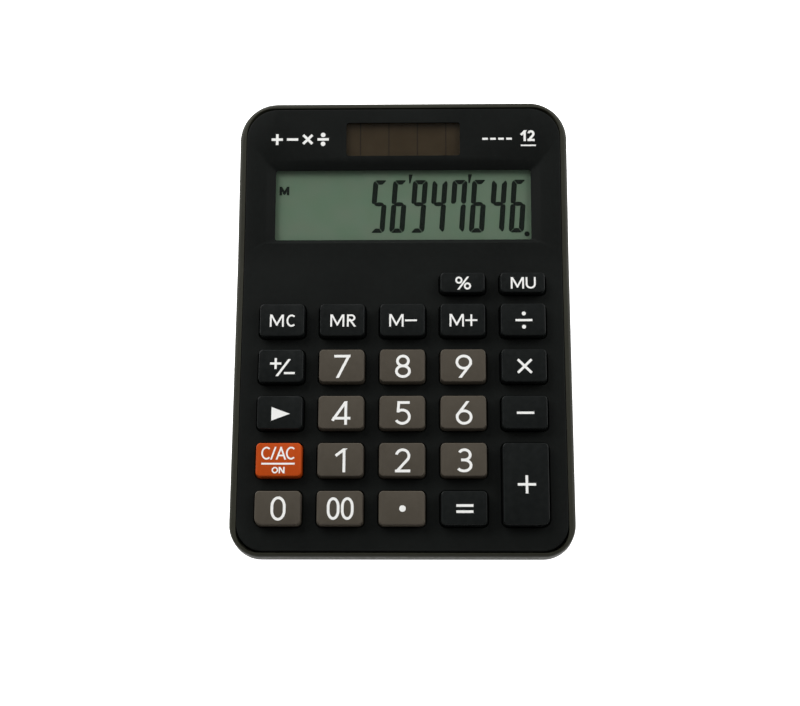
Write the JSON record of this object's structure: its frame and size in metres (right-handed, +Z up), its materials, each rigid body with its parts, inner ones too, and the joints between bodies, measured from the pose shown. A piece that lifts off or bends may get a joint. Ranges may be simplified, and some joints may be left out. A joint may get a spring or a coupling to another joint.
{
  "type": "desk calculator",
  "caption": "Compact desk calculator with a fixed sloping face: recessed LCD, solar strip, spring-back keys on silicone domes, and a tapered tub on rubber feet.",
  "frame": {"origin": "on the desk surface, under the middle of the body's width and length", "axes": "+X to the user's right, +Y to the rear (display end), +Z up from the desk"},
  "size_m": [0.1064, 0.147, 0.0289],
  "materials": {
    "face_black": "fine moulded texture, black",
    "case_olive": "fine moulded texture, dark olive brown",
    "key_black": "satin black",
    "key_brown": "satin grey brown",
    "key_orange": "satin orange",
    "clear_window": "clear, gloss",
    "lcd_glass": "grey-green liquid crystal",
    "film_silver": "matt reflector film",
    "solar_brown": "dark brown cell under glass",
    "inner_plastic": "plain moulded black",
    "ribbon_film": "polyester film with carbon lines",
    "foam": "grey foam",
    "wire_red": "PVC sleeve",
    "wire_black": "PVC sleeve",
    "board_green": "solder mask on phenolic board",
    "epoxy_black": "epoxy",
    "component_body": "component sleeve",
    "silicone_grey": "silicone",
    "cell_steel": "stainless can",
    "spring_plate": "nickel plated",
    "screw_steel": "zinc plated",
    "foot_rubber": "matt rubber",
    "label_silver": "blank satin label"
  },
  "bodies": {
    "case": {"back_label": "label_silver", "board_screws": "screw_steel", "bracket_screws": "screw_steel", "button_cell": "cell_steel", "capacitors": "component_body", "case_screws": "screw_steel", "cell_clip": "spring_plate", "cell_contact": "spring_plate", "chip_cover": "epoxy_black", "clamp_diode": "component_body", "display_bracket": "inner_plastic", "display_window": "clear_window", "dome_sheet": "silicone_grey", "lcd_panel": "lcd_glass", "lcd_reflector": "film_silver", "lcd_ribbon": "ribbon_film", "lower_case": "case_olive", "main_board": "board_green", "resistors": "component_body", "rubber_feet": "foot_rubber", "solar_cell": "solar_brown", "solar_pad": "foam", "solar_window": "clear_window", "solar_wire_black": "wire_black", "solar_wire_red": "wire_red", "upper_case": "face_black"},
    "key_0": {"key_0": "key_brown"},
    "key_00": {"key_00": "key_brown"},
    "key_1": {"key_1": "key_brown"},
    "key_2": {"key_2": "key_brown"},
    "key_3": {"key_3": "key_brown"},
    "key_4": {"key_4": "key_brown"},
    "key_5": {"key_5": "key_brown"},
    "key_6": {"key_6": "key_brown"},
    "key_7": {"key_7": "key_brown"},
    "key_8": {"key_8": "key_brown"},
    "key_9": {"key_9": "key_brown"},
    "key_backspace": {"key_backspace": "key_black"},
    "key_clear_on": {"key_clear_on": "key_orange"},
    "key_divide": {"key_divide": "key_black"},
    "key_equals": {"key_equals": "key_black"},
    "key_markup": {"key_markup": "key_black"},
    "key_memory_clear": {"key_memory_clear": "key_black"},
    "key_memory_minus": {"key_memory_minus": "key_black"},
    "key_memory_plus": {"key_memory_plus": "key_black"},
    "key_memory_recall": {"key_memory_recall": "key_black"},
    "key_minus": {"key_minus": "key_black"},
    "key_percent": {"key_percent": "key_black"},
    "key_plus": {"key_plus": "key_black"},
    "key_point": {"key_point": "key_brown"},
    "key_sign": {"key_sign": "key_black"},
    "key_times": {"key_times": "key_black"}
  },
  "joints": [
    {"name": "key_0_press", "type": "slide", "parent": "case", "child": "key_0", "axis": [0, 0.0958, -0.9954], "range_m": [0, 0.0015], "stiffness_N_per_m": 450, "springref_m": -0.0005, "deforming": ["dome_sheet"]},
    {"name": "key_00_press", "type": "slide", "parent": "case", "child": "key_00", "axis": [0, 0.0958, -0.9954], "range_m": [0, 0.0015], "stiffness_N_per_m": 450, "springref_m": -0.0005, "deforming": ["dome_sheet"]},
    {"name": "key_1_press", "type": "slide", "parent": "case", "child": "key_1", "axis": [0, 0.0958, -0.9954], "range_m": [0, 0.0015], "stiffness_N_per_m": 450, "springref_m": -0.0005, "deforming": ["dome_sheet"]},
    {"name": "key_2_press", "type": "slide", "parent": "case", "child": "key_2", "axis": [0, 0.0958, -0.9954], "range_m": [0, 0.0015], "stiffness_N_per_m": 450, "springref_m": -0.0005, "deforming": ["dome_sheet"]},
    {"name": "key_3_press", "type": "slide", "parent": "case", "child": "key_3", "axis": [0, 0.0958, -0.9954], "range_m": [0, 0.0015], "stiffness_N_per_m": 450, "springref_m": -0.0005, "deforming": ["dome_sheet"]},
    {"name": "key_4_press", "type": "slide", "parent": "case", "child": "key_4", "axis": [0, 0.0958, -0.9954], "range_m": [0, 0.0015], "stiffness_N_per_m": 450, "springref_m": -0.0005, "deforming": ["dome_sheet"]},
    {"name": "key_5_press", "type": "slide", "parent": "case", "child": "key_5", "axis": [0, 0.0958, -0.9954], "range_m": [0, 0.0015], "stiffness_N_per_m": 450, "springref_m": -0.0005, "deforming": ["dome_sheet"]},
    {"name": "key_6_press", "type": "slide", "parent": "case", "child": "key_6", "axis": [0, 0.0958, -0.9954], "range_m": [0, 0.0015], "stiffness_N_per_m": 450, "springref_m": -0.0005, "deforming": ["dome_sheet"]},
    {"name": "key_7_press", "type": "slide", "parent": "case", "child": "key_7", "axis": [0, 0.0958, -0.9954], "range_m": [0, 0.0015], "stiffness_N_per_m": 450, "springref_m": -0.0005, "deforming": ["dome_sheet"]},
    {"name": "key_8_press", "type": "slide", "parent": "case", "child": "key_8", "axis": [0, 0.0958, -0.9954], "range_m": [0, 0.0015], "stiffness_N_per_m": 450, "springref_m": -0.0005, "deforming": ["dome_sheet"]},
    {"name": "key_9_press", "type": "slide", "parent": "case", "child": "key_9", "axis": [0, 0.0958, -0.9954], "range_m": [0, 0.0015], "stiffness_N_per_m": 450, "springref_m": -0.0005, "deforming": ["dome_sheet"]},
    {"name": "key_backspace_press", "type": "slide", "parent": "case", "child": "key_backspace", "axis": [0, 0.0958, -0.9954], "range_m": [0, 0.0015], "stiffness_N_per_m": 450, "springref_m": -0.0005, "deforming": ["dome_sheet"]},
    {"name": "key_clear_on_press", "type": "slide", "parent": "case", "child": "key_clear_on", "axis": [0, 0.0958, -0.9954], "range_m": [0, 0.0015], "stiffness_N_per_m": 450, "springref_m": -0.0005, "deforming": ["dome_sheet"]},
    {"name": "key_divide_press", "type": "slide", "parent": "case", "child": "key_divide", "axis": [0, 0.0958, -0.9954], "range_m": [0, 0.0015], "stiffness_N_per_m": 450, "springref_m": -0.0005, "deforming": ["dome_sheet"]},
    {"name": "key_equals_press", "type": "slide", "parent": "case", "child": "key_equals", "axis": [0, 0.0958, -0.9954], "range_m": [0, 0.0015], "stiffness_N_per_m": 450, "springref_m": -0.0005, "deforming": ["dome_sheet"]},
    {"name": "key_markup_press", "type": "slide", "parent": "case", "child": "key_markup", "axis": [0, 0.0958, -0.9954], "range_m": [0, 0.0015], "stiffness_N_per_m": 450, "springref_m": -0.0005, "deforming": ["dome_sheet"]},
    {"name": "key_memory_clear_press", "type": "slide", "parent": "case", "child": "key_memory_clear", "axis": [0, 0.0958, -0.9954], "range_m": [0, 0.0015], "stiffness_N_per_m": 450, "springref_m": -0.0005, "deforming": ["dome_sheet"]},
    {"name": "key_memory_minus_press", "type": "slide", "parent": "case", "child": "key_memory_minus", "axis": [0, 0.0958, -0.9954], "range_m": [0, 0.0015], "stiffness_N_per_m": 450, "springref_m": -0.0005, "deforming": ["dome_sheet"]},
    {"name": "key_memory_plus_press", "type": "slide", "parent": "case", "child": "key_memory_plus", "axis": [0, 0.0958, -0.9954], "range_m": [0, 0.0015], "stiffness_N_per_m": 450, "springref_m": -0.0005, "deforming": ["dome_sheet"]},
    {"name": "key_memory_recall_press", "type": "slide", "parent": "case", "child": "key_memory_recall", "axis": [0, 0.0958, -0.9954], "range_m": [0, 0.0015], "stiffness_N_per_m": 450, "springref_m": -0.0005, "deforming": ["dome_sheet"]},
    {"name": "key_minus_press", "type": "slide", "parent": "case", "child": "key_minus", "axis": [0, 0.0958, -0.9954], "range_m": [0, 0.0015], "stiffness_N_per_m": 450, "springref_m": -0.0005, "deforming": ["dome_sheet"]},
    {"name": "key_percent_press", "type": "slide", "parent": "case", "child": "key_percent", "axis": [0, 0.0958, -0.9954], "range_m": [0, 0.0015], "stiffness_N_per_m": 450, "springref_m": -0.0005, "deforming": ["dome_sheet"]},
    {"name": "key_plus_press", "type": "slide", "parent": "case", "child": "key_plus", "axis": [0, 0.0958, -0.9954], "range_m": [0, 0.0015], "stiffness_N_per_m": 450, "springref_m": -0.0005, "deforming": ["dome_sheet"]},
    {"name": "key_point_press", "type": "slide", "parent": "case", "child": "key_point", "axis": [0, 0.0958, -0.9954], "range_m": [0, 0.0015], "stiffness_N_per_m": 450, "springref_m": -0.0005, "deforming": ["dome_sheet"]},
    {"name": "key_sign_press", "type": "slide", "parent": "case", "child": "key_sign", "axis": [0, 0.0958, -0.9954], "range_m": [0, 0.0015], "stiffness_N_per_m": 450, "springref_m": -0.0005, "deforming": ["dome_sheet"]},
    {"name": "key_times_press", "type": "slide", "parent": "case", "child": "key_times", "axis": [0, 0.0958, -0.9954], "range_m": [0, 0.0015], "stiffness_N_per_m": 450, "springref_m": -0.0005, "deforming": ["dome_sheet"]}
  ]
}
